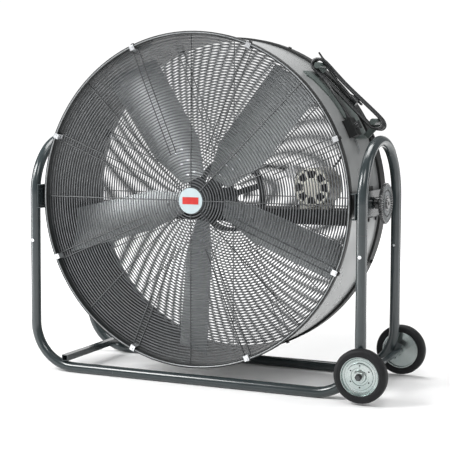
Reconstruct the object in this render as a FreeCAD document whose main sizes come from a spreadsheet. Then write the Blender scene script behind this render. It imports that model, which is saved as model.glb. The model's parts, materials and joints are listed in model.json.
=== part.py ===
import FreeCAD, Part
import math
import os
import re

from FreeCAD import Placement, Rotation, Vector

# A two-wheeled mobile drum fan: a belt-driven propeller in a sheet-metal drum, hung by two
# clamped pivots in a bent-tube frame. Millimetres. X is across the fan, -Y is its front,
# Z is up, and the frame's rails rest on Z = 0 with the origin at the middle of the floor box.

DIMENSIONS = {
    # where the drum's axis lies
    "drum_x": -40.0,
    "pivot_z": 704.0,
    # tube frame
    "tube_r": 20.0,
    "tube_wall": 2.0,
    "leg_x": 684.0,
    "leg_y": 223.0,
    "bend_r": 175.0,
    "seam_z": 602.0,
    "seam_gap": 0.4,
    "hoop_z": 713.0,
    "spigot_r": 17.9,
    "spigot_len": 100.0,
    "spigot_lap": 20.0,
    "hoop_bolt_z": 526.0,
    "bolt_r": 4.0,
    "bolt_hole_r": 4.2,
    "bolt_head_r": 7.5,
    "bolt_head_len": 5.0,
    "brace_x": -540.0,
    "brace_z": 46.8,
    "brace_width": 26.0,
    "brace_height": 24.0,
    "brace_wall": 2.5,
    # pivot channels and their bushes
    "channel_x": 664.0,
    "channel_depth": 18.0,
    "channel_height": 95.0,
    "channel_wall": 3.0,
    "channel_half_len": 240.0,
    "bush_r": 14.0,
    "bush_len": 13.0,
    "bush_x": 655.0,
    "stud_r": 8.0,
    "run_gap": 0.05,
    # axle and wheels
    "axle_x": 700.0,
    "axle_z": 105.0,
    "axle_r": 8.0,
    "axle_half_len": 305.0,
    "axle_tube_r": 12.5,
    "boss_len": 36.0,
    "boss_y": 223.0,
    "gusset_thick": 6.0,
    "gusset_height": 28.0,
    "gusset_width": 64.0,
    "wheel_y": 268.0,
    "wheel_r": 98.0,
    "tyre_width": 44.0,
    "tyre_round": 9.0,
    "rim_r": 71.0,
    "rim_width": 36.0,
    "rim_wall": 5.0,
    "disc_thick": 4.0,
    "disc_hole_r": 5.0,
    "hub_r": 15.0,
    "hub_len": 48.0,
    "nut_r": 13.0,
    "nut_len": 8.0,
    # drum
    "shell_r": 631.5,
    "shell_wall": 1.5,
    "shell_half_len": 225.0,
    "rim_outer_r": 641.0,
    "rim_face_y": 227.0,
    "front_band": 28.0,
    "rear_band": 60.0,
    "rim_sheet": 2.0,
    "guard_y": 202.0,
    "guard_r": 626.5,
    "guard_eye_r": 50.5,
    "guard_wire_r": 2.0,
    "guard_spoke_r": 1.6,
    "hairpin_half": 12.5,
    "hairpin_inner_r": 190.0,
    "clip_width": 20.0,
    "clip_sheet": 2.0,
    "clip_inner_r": 620.0,
    "badge_r": 49.0,
    "badge_thick": 4.0,
    "badge_y": -209.0,
    "label_width": 67.0,
    "label_height": 27.0,
    "label_thick": 1.0,
    # shelf and bearings
    "shelf_top": -36.0,
    "shelf_height": 57.0,
    "shelf_front": 15.0,
    "shelf_depth": 135.0,
    "shelf_wall": 3.0,
    "bearing_foot_len": 140.0,
    "bearing_foot_high": 14.0,
    "bearing_width": 34.0,
    "bearing_r": 33.0,
    "front_bearing_y": 52.0,
    "rear_bearing_y": 127.0,
    # propeller
    "shaft_r": 12.5,
    "shaft_front": -112.0,
    "shaft_len": 306.0,
    "hub_y": -75.0,
    "spider_hub_r": 40.0,
    "spider_hub_len": 70.0,
    "arm_reach": 235.0,
    "arm_width": 52.0,
    "arm_thick": 8.0,
    "blade_count": 5.0,
    "blade_phase": 50.9,
    "blade_pitch": 35.0,
    "blade_tip_r": 603.0,
    "blade_root_r": 88.0,
    "blade_mid_r": 230.0,
    "blade_tip_chord": 211.0,
    "blade_mid_chord": 192.0,
    "blade_root_chord": 92.0,
    "blade_sheet": 2.5,
    "camber_r": 330.0,
    "rivet_r": 5.0,
    "arm_start": 22.0,
    # belt drive
    "belt_plane": 178.0,
    "driven_r": 150.0,
    "drive_r": 42.0,
    "pulley_width": 28.0,
    "pulley_rim": 15.0,
    "groove_depth": 10.0,
    "groove_width": 13.0,
    "belt_width": 12.2,
    "belt_thick": 8.0,
    "belt_gap": 0.4,
    "pulley_hub_r": 30.0,
    "spoke_width": 24.0,
    "spoke_thick": 12.0,
    # motor
    "motor_x": 408.0,
    "motor_z": 50.0,
    "motor_r": 75.0,
    "motor_wall": 7.0,
    "motor_front": 12.0,
    "bell_len": 28.0,
    "motor_shell_len": 95.0,
    "stator_r": 67.7,
    "stator_bore_r": 41.0,
    "rotor_r": 40.0,
    "core_len": 70.0,
    "motor_shaft_r": 8.0,
    "vent_ring_r": 50.0,
    "vent_r": 12.0,
    "capacitor_r": 23.0,
    "capacitor_len": 88.0,
    "capacitor_x": -93.0,
    "capacitor_z": 55.0,
    "conduit_side": 62.0,
    "conduit_high": 34.0,
    "motor_lead_r": 4.0,
    # tilt knobs
    "knob_r": 77.0,
    "knob_x": 697.0,
    "knob_thick": 16.0,
    "knob_neck_r": 22.5,
    "knob_neck_start": 668.3,
    "knob_boss_r": 20.0,
    "knob_boss_len": 5.0,
    "knob_groove_inner": 28.0,
    "knob_groove_outer": 68.0,
    "knob_groove_depth": 7.0,
    "knob_rib": 3.0,
    "pad_half": 60.0,
    "pad_x": 638.0,
    "pad_depth": 16.0,
    "washer_r": 30.0,
    "washer_len": 12.0,
    "grip_r": 4.0,
    "grip_circle_r": 78.5,
    # switch box
    "box_angle": 25.6,
    "box_front": -68.0,
    "box_len": 58.0,
    "box_wide": 70.0,
    "box_low": 628.0,
    "box_high": 36.0,
    "gland_y": -30.0,
    "gland_rise": 21.0,
    "gland_nut_r": 10.0,
    "gland_nut_len": 7.0,
    "gland_sleeve_r": 8.0,
    "gland_sleeve_len": 18.0,
    "lead_hole_y": -28.0,
    "switch_knob_r": 14.0,
    "switch_knob_len": 14.0,
    # cord wrap and mains cord
    "wrap_angle": 46.1,
    "wrap_shift": -101.0,
    "wrap_half": 154.0,
    "wrap_mid_r": 666.0,
    "cord_r": 4.75,
    "coil_half": 19.0,
    "coil_front": 25.0,
    "coil_depth": 85.0,
    "saddle_angle": 36.5,
    "saddle_sheet": 4.0,
    "saddle_back": 140.0,
    "post_r": 12.0,
    "post_len": 98.0,
    "post_start": 20.0,
    "post_plate_y": 117.0,
    "post_plate_thick": 5.0,
    "tuck_y": 62.0,
    "plug_r": 13.5,
    "plug_len": 46.0,
    "plug_neck_len": 16.0,
}

GUARD_RINGS = 13
RIVET_REACHES = (115, 165, 215)
RIVET_SHIFT = 14
SHELF_BOLT_ANGLES = (-6.2, 186.2)
BEARING_BOLT_X = 52
# the saddle's outline: along it, and along the drum's axis
SADDLE_OUTLINE = ((-159, -8), (-80, -8), (-70, -30), (5, -35), (110, -58), (133, -80), (159, -62))
# along the wrap, out from the coil's middle
TUCKED_END = ((122, 13), (76, 6), (34, 0), (-6, 0))

X = Vector(1, 0, 0)
Y = Vector(0, 1, 0)
Z = Vector(0, 0, 1)

doc = FreeCAD.newDocument("drum_fan")
sheet = doc.addObject("Spreadsheet::Sheet", "sizes")
for row, (alias, number) in enumerate(DIMENSIONS.items(), start=1):
    sheet.set(f"A{row}", alias)
    sheet.set(f"B{row}", str(number))
    sheet.setAlias(f"B{row}", alias)
doc.recompute()
size = {alias: float(sheet.get(alias)) for alias in DIMENSIONS}
nodes = {}


# ---------------------------------------------------------------- helpers

def bind(feature, **properties):
    """Ties properties to formulas of the sheet's aliases."""
    for name, formula in properties.items():
        feature.setExpression(name, re.sub(r"[a-z]\w+", lambda m: "sizes." + m.group(), formula))
    return feature


def stand(feature, base, axis=Z, turn=0.0):
    """Puts a feature's own origin at base, turned about its own Z, with that Z along axis."""
    feature.Placement = Placement(base, Rotation(Z, axis)).multiply(Placement(Vector(), Rotation(Z, turn)))
    return feature


def cylinder(radius, length, base, axis=Z):
    return stand(bind(doc.addObject("Part::Cylinder", "cylinder"), Radius=radius, Height=length), base, axis)


def torus(major, minor, base, axis=Z):
    return stand(bind(doc.addObject("Part::Torus", "torus"), Radius1=major, Radius2=minor), base, axis)


def box(length, width, height, placement):
    """A box whose own corner is put where placement says."""
    solid = bind(doc.addObject("Part::Box", "box"), Length=length, Width=width, Height=height)
    solid.Placement = placement
    return solid


def cut(base, *tools):
    for tool in tools:
        result = doc.addObject("Part::Cut", "cut")
        result.Base = base
        result.Tool = tool
        base = result
    return base


def fuse(*shapes):
    result = doc.addObject("Part::MultiFuse", "fuse")
    result.Shapes = list(shapes)
    return result


def common(*shapes):
    result = doc.addObject("Part::MultiCommon", "common")
    result.Shapes = list(shapes)
    return result


def group(shapes):
    """Separate solids kept in one node."""
    result = doc.addObject("Part::Compound", "group")
    result.Links = list(shapes)
    return result


def ring(outer, inner, length, base, axis=Z):
    return cut(cylinder(outer, length, base, axis), cylinder(inner, length, base, axis))


def custom(shape):
    """A feature for a shape that no primitive or sketch feature makes."""
    result = doc.addObject("Part::Feature", "custom")
    result.Shape = shape
    return result


def node(name, feature):
    feature.Label = name
    nodes[name] = feature
    return feature


def floor_at(x, y, z):
    """A point given across from the drum's axis and up from the floor."""
    return Vector(size["drum_x"] + x, y, z)


def drum_at(x, y, z):
    """A point given from the tilt pivot."""
    return Vector(size["drum_x"] + x, y, size["pivot_z"] + z)


def outward(angle):
    """The direction out of the drum at an angle counted up from +X."""
    return Vector(math.cos(math.radians(angle)), 0, math.sin(math.radians(angle)))


def around(radius, angle, y):
    """A point on a circle about the drum's axis."""
    return drum_at(0, y, 0) + outward(angle) * radius


def rounded_path(points, radius=None):
    """Straight runs joined by tangent arcs. With no radius, each arc is as large as its runs allow."""
    edges = []
    start = points[0]
    radii = []
    for before, corner, after in zip(points, points[1:], points[2:]):
        back = (before - corner).normalize()
        ahead = (after - corner).normalize()
        turn = math.pi - back.getAngle(ahead)
        shorter = min((before - corner).Length, (after - corner).Length)
        bend = radius or 0.45 * shorter / math.tan(turn / 2)
        inset = bend * math.tan(turn / 2)
        into = corner + back * inset
        out = corner + ahead * inset
        middle = corner + (back + ahead).normalize() * (bend / math.cos(turn / 2) - bend)
        edges.append(Part.LineSegment(start, into).toShape())
        edges.append(Part.Arc(into, middle, out).toShape())
        start = out
        radii.append(bend)
    edges.append(Part.LineSegment(start, points[-1]).toShape())
    return Part.Wire(edges), radii


def sweep(path, radius):
    """A round bar of the sheet's radius along a path."""
    spine = custom(path)
    profile = bind(doc.addObject("Part::Circle", "circle"), Radius=radius)
    first = path.Edges[0]
    stand(profile, first.valueAt(first.FirstParameter), first.tangentAt(first.FirstParameter))
    result = doc.addObject("Part::Sweep", "sweep")
    result.Sections = [profile]
    result.Spine = (spine, [f"Edge{i + 1}" for i in range(len(path.Edges))])
    result.Solid = True
    result.Frenet = False
    return result


def hex_bolt(tip, direction, length):
    """A hexagon-headed bolt: its shank ends at tip and its head lies towards direction."""
    head = doc.addObject("Part::Prism", "head")
    head.Polygon = 6
    bind(head, Circumradius="bolt_head_r", Height="bolt_head_len")
    stand(head, tip + direction * length, direction)
    shank = doc.addObject("Part::Cylinder", "shank")
    shank.Height = length
    bind(shank, Radius="bolt_r")
    stand(shank, tip, direction)
    return fuse(head, shank)


# ---------------------------------------------------------------- frame

def bolt_hole(x, y):
    """The drilling through both walls of a leg for its hoop bolt."""
    span = "2 * tube_r + 2"
    return cylinder("bolt_hole_r", span, floor_at(x, y - size["tube_r"] - 1, size["hoop_bolt_z"]), Y)


def lower_tube(name, side):
    y = side * size["leg_y"]
    reach = size["leg_x"]
    rail = size["tube_r"]
    corners = [(-reach, size["seam_z"]), (-reach, rail), (reach, rail), (reach, size["seam_z"])]
    path, _ = rounded_path([floor_at(x, y, z) for x, z in corners], size["bend_r"])
    tube = cut(sweep(path, "tube_r"), sweep(path, "tube_r - tube_wall"))
    node(name, cut(tube, bolt_hole(-reach, y), bolt_hole(reach, y)))


def hoop(name, side):
    x = side * size["leg_x"]
    reach = size["leg_y"]
    foot = size["seam_z"] + size["seam_gap"]
    shoulder = size["hoop_z"]
    arc = Part.Arc(
        floor_at(x, -reach, shoulder), floor_at(x, 0, shoulder + reach), floor_at(x, reach, shoulder)
    )
    path = Part.Wire([
        Part.LineSegment(floor_at(x, -reach, foot), floor_at(x, -reach, shoulder)).toShape(),
        arc.toShape(),
        Part.LineSegment(floor_at(x, reach, shoulder), floor_at(x, reach, foot)).toShape(),
    ])
    bent = cut(sweep(path, "tube_r"), sweep(path, "tube_r - tube_wall"))
    pieces = [bent]
    for y in (-reach, reach):
        low = floor_at(x, y, foot - size["spigot_len"])
        spigot = cylinder("spigot_r", "spigot_len + spigot_lap", low)
        collar = cylinder("tube_r - tube_wall / 2", "spigot_lap", floor_at(x, y, foot))
        bore = cylinder("spigot_r - tube_wall", "spigot_len + spigot_lap", low)
        pieces.append(cut(fuse(spigot, collar), bore))
    node(name, cut(fuse(*pieces), bolt_hole(x, -reach), bolt_hole(x, reach)))


def hoop_bolts():
    bolts = []
    for x in (-size["leg_x"], size["leg_x"]):
        for side in (-1, 1):
            inner = floor_at(x, side * (size["leg_y"] - size["tube_r"] - 6), size["hoop_bolt_z"])
            bolts.append(hex_bolt(inner, Y * side, 2 * size["tube_r"] + 6.2))
    node("hoop_bolts", group(bolts))


def cross_brace():
    """A square tube laid across the two rails, with a bolt down into each of them."""
    half = size["leg_y"] + size["tube_r"]
    corner = floor_at(size["brace_x"] - size["brace_width"] / 2, -half, size["brace_z"])
    outer = box("brace_width", "2 * leg_y + 2 * tube_r", "brace_height", Placement(corner, Rotation()))
    wall = size["brace_wall"]
    hollow = box(
        "brace_width - 2 * brace_wall", "2 * leg_y + 2 * tube_r + 2", "brace_height - 2 * brace_wall",
        Placement(corner + Vector(wall, -1, wall), Rotation()),
    )
    node("cross_brace", cut(outer, hollow))


def pivot_channel(side):
    half_high = size["channel_height"] / 2
    half_len = size["channel_half_len"]
    web_x = size["channel_x"] - size["channel_wall"]
    toe_x = size["channel_x"] - size["channel_depth"]
    low = web_x if side > 0 else -size["channel_x"]
    web = box("channel_wall", "2 * channel_half_len", "channel_height",
              Placement(drum_at(low, -half_len, -half_high), Rotation()))
    low = toe_x if side > 0 else -size["channel_x"]
    flanges = [
        box("channel_depth", "2 * channel_half_len", "channel_wall",
            Placement(drum_at(low, -half_len, z), Rotation()))
        for z in (-half_high, half_high - size["channel_wall"])
    ]
    start = side * (toe_x + 5)
    hole = cylinder("bush_r", "channel_depth", drum_at(start, 0, 0), X * side)
    return cut(fuse(web, *flanges), hole)


def pivot_bush(side):
    start = drum_at(side * size["bush_x"], 0, 0)
    return ring("bush_r - 0.02", "stud_r + run_gap", "bush_len", start, X * side)


def axle_parts():
    node("wheel_axle", cylinder("axle_r", "2 * axle_half_len",
                                floor_at(size["axle_x"], -size["axle_half_len"], size["axle_z"]), Y))
    inner = size["boss_y"] - size["boss_len"] / 2
    start = floor_at(size["axle_x"], -inner + 0.3, size["axle_z"])
    node("axle_tube", ring("axle_tube_r", "axle_r + run_gap", "2 * boss_y - boss_len - 0.6", start, Y))
    bend_centre = Vector(size["leg_x"] - size["bend_r"], 0, size["tube_r"] + size["bend_r"])
    lean = Vector(size["axle_x"], 0, size["axle_z"]) - bend_centre
    away = Vector(lean).normalize()
    along = Y.cross(away)
    brackets = []
    for side in (-1, 1):
        y = side * size["boss_y"]
        boss = cylinder("axle_tube_r", "boss_len",
                        floor_at(size["axle_x"], y - size["boss_len"] / 2, size["axle_z"]), Y)
        foot = floor_at(bend_centre.x, y - size["gusset_thick"] / 2, bend_centre.z)
        foot = foot + away * (size["bend_r"] + size["tube_r"] - 8) - along * (size["gusset_width"] / 2)
        turned = Rotation(along, Y, Vector(), "XYZ")
        gusset = box("gusset_width", "gusset_thick", "gusset_height", Placement(foot, turned))
        tube_space = torus("bend_r", "tube_r + 0.1", floor_at(bend_centre.x, y, bend_centre.z), Y)
        bore = cylinder("axle_r + run_gap", "boss_len",
                        floor_at(size["axle_x"], y - size["boss_len"] / 2, size["axle_z"]), Y)
        brackets.append(cut(fuse(boss, gusset), tube_space, bore))
    node("axle_brackets", group(brackets))
    nuts = []
    for side in (-1, 1):
        nut = doc.addObject("Part::Prism", "nut")
        nut.Polygon = 6
        bind(nut, Circumradius="nut_r", Height="nut_len")
        outer = size["wheel_y"] + size["hub_len"] / 2 + 0.5
        seat = floor_at(size["axle_x"], side * outer, size["axle_z"])
        stand(nut, seat, Y * side)
        bore = cylinder("axle_r + 0.02", "nut_len", seat, Y * side)
        nuts.append(cut(nut, bore))
    node("axle_nuts", group(nuts))


def wheel(prefix, side):
    """A solid tyre on a pressed steel rim with ridged discs and a plain bush."""
    y = side * size["wheel_y"]
    centre = floor_at(size["axle_x"], y, size["axle_z"])
    half = size["tyre_width"] / 2
    tread = ring("wheel_r", "rim_r + 0.02", "tyre_width", centre - Y * half, Y)
    rounded = doc.addObject("Part::Fillet", "rounded")
    rounded.Base = tread
    doc.recompute()
    outer_edges = [
        i + 1 for i, edge in enumerate(tread.Shape.Edges)
        if abs(edge.BoundBox.ZLength - 2 * size["wheel_r"]) < 0.1
    ]
    rounded.Edges = [(i, size["tyre_round"], size["tyre_round"]) for i in outer_edges]
    node(prefix + "_tyre", rounded)
    rim = ring("rim_r", "rim_r - rim_wall", "rim_width", centre - Y * (size["rim_width"] / 2), Y)
    outer_y = side * (size["rim_width"] / 2 - 9)
    disc = ring("rim_r - 1", "hub_r - 1", "disc_thick", centre + Y * (outer_y - size["disc_thick"] / 2), Y)
    back = ring("rim_r - 1", "hub_r - 1", "disc_thick", centre - Y * (outer_y + size["disc_thick"] / 2), Y)
    ridge_y = outer_y + side * size["disc_thick"] / 2
    ridges = [
        torus(radius, "2.5", centre + Y * ridge_y, Y)
        for radius in ("hub_r + 9", "rim_r * 0.62", "rim_r - 10")
    ]
    holes = []
    for k in range(6):
        spot = centre + outward(60 * k + 30) * (size["rim_r"] * 0.76)
        holes.append(cylinder("disc_hole_r", "rim_width", spot - Y * (size["rim_width"] / 2), Y))
    hub = ring("hub_r", "axle_r + run_gap", "hub_len", centre - Y * (size["hub_len"] / 2), Y)
    node(prefix + "_wheel_disc", cut(fuse(rim, disc, back, hub, *ridges), *holes))


# ---------------------------------------------------------------- drum

def drum_shell():
    low = drum_at(0, -size["shell_half_len"], 0)
    wall = ring("shell_r", "shell_r - shell_wall", "2 * shell_half_len", low, Y)
    angle = size["box_angle"]
    inside = around(size["shell_r"] - 20, angle, size["lead_hole_y"])
    node("drum_shell", cut(wall, cylinder("motor_lead_r + 2", "40", inside, outward(angle))))


def rim(name, side, band):
    """A rolled channel ring over the shell's edge: a face flange, a band and a return flange."""
    face = drum_at(0, side * size["rim_face_y"], 0)
    into = Y * -side
    behind = face + into * size["rim_sheet"]
    whole = ring("rim_outer_r", "shell_r - shell_wall - 1", band, face, into)
    seat = ring("shell_r + 0.1", "shell_r - shell_wall - 2", band, behind, into)
    hollow = ring("rim_outer_r - rim_sheet", "shell_r - 1", band + " - 2 * rim_sheet", behind, into)
    node(name, cut(whole, seat, hollow))


def drum_bolts():
    """The drum's identical hexagon heads: round both rims, at the shelf's ends and on the bearings' feet."""
    bolts = []
    for side, band in ((-1, "front_band"), (1, "rear_band")):
        y = side * (size["rim_face_y"] - size[band] / 2)
        for k in range(8):
            angle = 22.5 + 45 * k
            head = doc.addObject("Part::Prism", "head")
            head.Polygon = 6
            bind(head, Circumradius="bolt_head_r", Height="bolt_head_len + 1")
            stand(head, around(size["rim_outer_r"] + 0.2, angle, y), outward(angle))
            bolts.append(head)
    for angle in SHELF_BOLT_ANGLES:
        for y in (size["shelf_front"] + 20, size["shelf_front"] + size["shelf_depth"] - 20):
            bolts.append(hex_bolt(around(size["shell_r"] + 0.2, angle, y), outward(angle), 0.5))
    for y in (size["front_bearing_y"], size["rear_bearing_y"]):
        for x in (-BEARING_BOLT_X, BEARING_BOLT_X):
            z = size["shelf_top"] + size["bearing_foot_high"] + 0.2
            bolts.append(hex_bolt(drum_at(x, y, z), Z, 0.5))
    node("drum_bolts", group(bolts))


def radial_box(corner, out, length, width, height):
    """A box that runs outwards from a corner, with its width across and its height along the drum's axis."""
    across = out.cross(Y)
    solid = bind(doc.addObject("Part::Box", "radial_box"), Width=width)
    solid.Length = length
    solid.Height = height
    solid.Placement = Placement(corner + Y * height, Rotation(out, across, Vector(), "XYZ"))
    return solid


def guard_spoke(angle, inner, offset):
    """A square bar of the front guard from one radius to its outer ring, offset sideways."""
    out = outward(angle)
    half = size["guard_spoke_r"]
    start = drum_at(0, -size["guard_y"] - half, 0) + out * inner + out.cross(Y) * (offset - half)
    return radial_box(start, out, size["guard_r"] - inner, "2 * guard_spoke_r", 2 * half)


def guard():
    """The front guard: rings and spokes welded in one plane. The rear one is its mirror image."""
    low = drum_at(0, -size["guard_y"] - size["guard_wire_r"], 0)
    pitch = (size["guard_r"] - size["guard_eye_r"]) / (GUARD_RINGS - 1)
    wires = []
    for k in range(GUARD_RINGS):
        middle = f"guard_eye_r + {k * pitch}"
        outer, inner = middle + " + guard_wire_r", middle + " - guard_wire_r"
        wires.append(ring(outer, inner, "2 * guard_wire_r", low, Y))
    for k in range(8):
        wires.append(guard_spoke(45 * k, size["guard_eye_r"], 0))
        for offset in (-size["hairpin_half"], size["hairpin_half"]):
            wires.append(guard_spoke(45 * k + 22.5, size["hairpin_inner_r"], offset))
    front = node("front_guard", fuse(*wires))
    rear = doc.addObject("Part::Mirroring", "rear")
    rear.Source = front
    rear.Base = Vector()
    rear.Normal = Y
    node("rear_guard", rear)


def clip_strip(side, angle, inner, outer, near, far):
    """A strip of a clip between two radii and two depths behind the rim's face."""
    out = outward(angle)
    first, last = sorted((-side * near, -side * far))
    corner = around(inner, angle, side * (size["rim_face_y"] + 0.2) + first)
    corner = corner - out.cross(Y) * (size["clip_width"] / 2)
    return radial_box(corner, out, outer - inner, "clip_width", last - first)


def guard_clips(side):
    """Eight folded clips, each screwed to the rim's face and hooked behind the guard's outer wire."""
    sheet_thick = size["clip_sheet"]
    inner = size["clip_inner_r"]
    outer = size["rim_outer_r"]
    foot_depth = size["rim_face_y"] - size["guard_y"] + size["guard_wire_r"] + 0.4
    clips = []
    for k in range(8):
        angle = 22.5 + 45 * k
        plate = clip_strip(side, angle, inner, outer, -sheet_thick, 0)
        leg = clip_strip(side, angle, inner, inner + sheet_thick, -sheet_thick, foot_depth + sheet_thick)
        foot = clip_strip(side, angle, inner, inner + 8, foot_depth, foot_depth + sheet_thick)
        spot = around(outer - 6, angle, side * (size["rim_face_y"] + 0.2 + sheet_thick))
        head = cylinder("bolt_r", "2.5", spot, Y * side)
        clips.append(fuse(plate, leg, foot, head))
    return clips


def badge():
    base = drum_at(0, size["badge_y"], 0)
    node("badge_plate", cylinder("badge_r", "badge_thick", base, Y))
    front = size["badge_y"] - size["label_thick"]
    corner = drum_at(-size["label_width"] / 2, front, -size["label_height"] / 2)
    panel = box("label_width", "label_thick - 0.05", "label_height", Placement(corner, Rotation()))
    node("badge_label", panel)


def shelf():
    """A folded channel right across the drum that carries both bearings and the motor."""
    reach = size["shell_r"]
    top = size["shelf_top"]
    low = top - size["shelf_height"]
    front = size["shelf_front"]
    back = front + size["shelf_depth"] - size["shelf_wall"]
    plate = box("2 * shell_r", "shelf_depth", "shelf_wall",
                Placement(drum_at(-reach, front, top - size["shelf_wall"]), Rotation()))
    flanges = [
        box("2 * shell_r", "shelf_wall", "shelf_height", Placement(drum_at(-reach, y, low), Rotation()))
        for y in (front, back)
    ]
    inside = cylinder("shell_r - shell_wall - 0.2", "shelf_depth", drum_at(0, front, 0), Y)
    node("shelf", common(fuse(plate, *flanges), inside))


def bearing(y):
    """A pillow block that stands on the shelf."""
    start = y - size["bearing_width"] / 2
    foot = box("bearing_foot_len", "bearing_width", "bearing_foot_high",
               Placement(drum_at(-size["bearing_foot_len"] / 2, start, size["shelf_top"] + 0.1), Rotation()))
    ball = cylinder("bearing_r", "bearing_width", drum_at(0, start, 0), Y)
    bore = cylinder("shaft_r + run_gap", "bearing_width", drum_at(0, start, 0), Y)
    return cut(fuse(foot, ball), bore)


# ---------------------------------------------------------------- propeller and belt drive

def blade_frame(angle):
    """The blade's own axes: chord, span, and out of its rear face."""
    pitch = math.radians(size["blade_pitch"])
    span = outward(angle)
    tangent = Vector(-span.z, 0, span.x)
    chord = tangent * math.cos(pitch) - Y * math.sin(pitch)
    turned = Rotation(chord, span, chord.cross(span), "XYZ")
    return Placement(drum_at(0, size["hub_y"], 0), turned)


def blade(name, angle):
    """A cambered sheet, narrow at its root and broad from a third of its length out."""
    frame = blade_frame(angle)
    lie = Placement(Vector(0, 0, -size["camber_r"]), Rotation(Z, Y))
    length = "blade_tip_r + 20"
    outer = cylinder("camber_r", length, Vector())
    outer.Placement = frame.multiply(lie)
    inner = cylinder("camber_r - blade_sheet", length, Vector())
    inner.Placement = frame.multiply(lie)
    plans = []
    for near, far in (("blade_root", "blade_mid"), ("blade_mid", "blade_tip")):
        plan = doc.addObject("Part::Wedge", "plan")
        bind(
            plan, Xmin=f"-{near}_chord / 2", Xmax=f"{near}_chord / 2",
            X2min=f"-{far}_chord / 2", X2max=f"{far}_chord / 2", Ymin=near + "_r", Ymax=far + "_r",
            Zmin="-camber_r / 6", Zmax="camber_r / 6", Z2min="-camber_r / 6", Z2max="camber_r / 6",
        )
        plan.Placement = frame
        plans.append(plan)
    tips = cylinder("blade_tip_r", "300", drum_at(0, size["hub_y"] - 150, 0), Y)
    node(name, common(cut(outer, inner), fuse(*plans), tips))


def propeller():
    node("fan_shaft", cylinder("shaft_r", "shaft_len", drum_at(0, size["shaft_front"], 0), Y))
    start = drum_at(0, size["hub_y"] - size["spider_hub_len"] / 2, 0)
    pieces = [cylinder("spider_hub_r", "spider_hub_len", start, Y)]
    rivets = []
    count = int(size["blade_count"])
    for k in range(count):
        angle = size["blade_phase"] + 360 / count * k
        blade(f"blade_{k + 1}", angle)
        frame = blade_frame(angle)
        corner = Placement(Vector(-size["arm_width"] / 2, size["arm_start"], 0.1), Rotation())
        pieces.append(box("arm_width", "arm_reach - arm_start", "arm_thick", frame.multiply(corner)))
        for reach in RIVET_REACHES:
            for shift in (-RIVET_SHIFT, RIVET_SHIFT):
                spot = Placement(Vector(shift, reach, -7), Rotation())
                rivet = cylinder("rivet_r", "4", Vector())
                rivet.Placement = frame.multiply(spot)
                rivets.append(rivet)
    bore = cylinder("shaft_r + 0.01", "spider_hub_len", start, Y)
    node("fan_spider", cut(fuse(*pieces), bore))
    node("blade_rivets", group(rivets))


def pulley(name, radius, shaft, centre, spoked):
    """A grooved wheel about a Y axis; the large one has a hub and five spokes."""
    low = centre - Y * (size["pulley_width"] / 2)
    groove_low = centre - Y * (size["groove_width"] / 2)
    groove = ring(radius + " + 1", radius + " - groove_depth", "groove_width", groove_low, Y)
    if spoked:
        body = [
            ring(radius, radius + " - pulley_rim", "pulley_width", low, Y),
            cylinder("pulley_hub_r", "pulley_width", low, Y),
        ]
        for k in range(5):
            out = outward(72 * k + 90)
            across = out.cross(Y)
            corner = centre + out * 20 - across * (size["spoke_width"] / 2) - Y * (size["spoke_thick"] / 2)
            turned = Rotation(out, across, Vector(), "XYZ")
            if out.cross(across).dot(Y) < 0:
                corner = corner + Y * size["spoke_thick"]
            body.append(box("driven_r - pulley_rim / 2 - 20", "spoke_width", "spoke_thick",
                            Placement(corner, turned)))
        solid = fuse(*body)
    else:
        solid = cylinder(radius, "pulley_width", low, Y)
    node(name, cut(solid, groove, cylinder(shaft + " + 0.01", "pulley_width", low, Y)))


def belt_outline(grow):
    """The closed line round both pulleys, grow outside the belt's inner face."""
    big = drum_at(0, size["belt_plane"], 0)
    small = drum_at(size["motor_x"], size["belt_plane"], size["motor_z"])
    seat = size["belt_gap"] - size["groove_depth"] + grow
    big_r = size["driven_r"] + seat
    small_r = size["drive_r"] + seat
    line = small - big
    slope = math.degrees(math.atan2(line.z, line.x))
    lean = math.degrees(math.acos((big_r - small_r) / line.Length))
    top, low = outward(slope + lean), outward(slope - lean)
    return Part.Wire([
        Part.Arc(big + top * big_r, big + outward(slope + 180) * big_r, big + low * big_r).toShape(),
        Part.LineSegment(big + low * big_r, small + low * small_r).toShape(),
        Part.Arc(small + low * small_r, small + outward(slope) * small_r, small + top * small_r).toShape(),
        Part.LineSegment(small + top * small_r, big + top * big_r).toShape(),
    ])


def belt():
    outer = Part.Face(belt_outline(size["belt_thick"]))
    band = outer.cut(Part.Face(belt_outline(0)))
    solid = band.extrude(Y * size["belt_width"])
    loop = custom(solid.Solids[0])
    loop.Placement = Placement(Y * (-size["belt_width"] / 2), Rotation())
    node("drive_belt", loop)


# ---------------------------------------------------------------- motor

def motor_at(x, y, z):
    return drum_at(size["motor_x"] + x, y, size["motor_z"] + z)


def end_bell(name, start, inward):
    """A cupped end cover with a ring of vent holes and a bore for the shaft."""
    base = motor_at(0, start, 0)
    cup = cylinder("motor_r", "bell_len", base, inward)
    hollow = cylinder("motor_r - motor_wall", "bell_len", base + inward * 4, inward)
    vents = []
    for k in range(8):
        spot = base + outward(45 * k) * size["vent_ring_r"]
        vents.append(cylinder("vent_r", "10", spot - inward * 2, inward))
    bore = cylinder("motor_shaft_r + run_gap", "bell_len", base, inward)
    boss = cylinder("motor_shaft_r + 12", "bell_len / 2", base, inward)
    node(name, cut(fuse(cut(cup, hollow), boss), *vents, bore))


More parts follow.
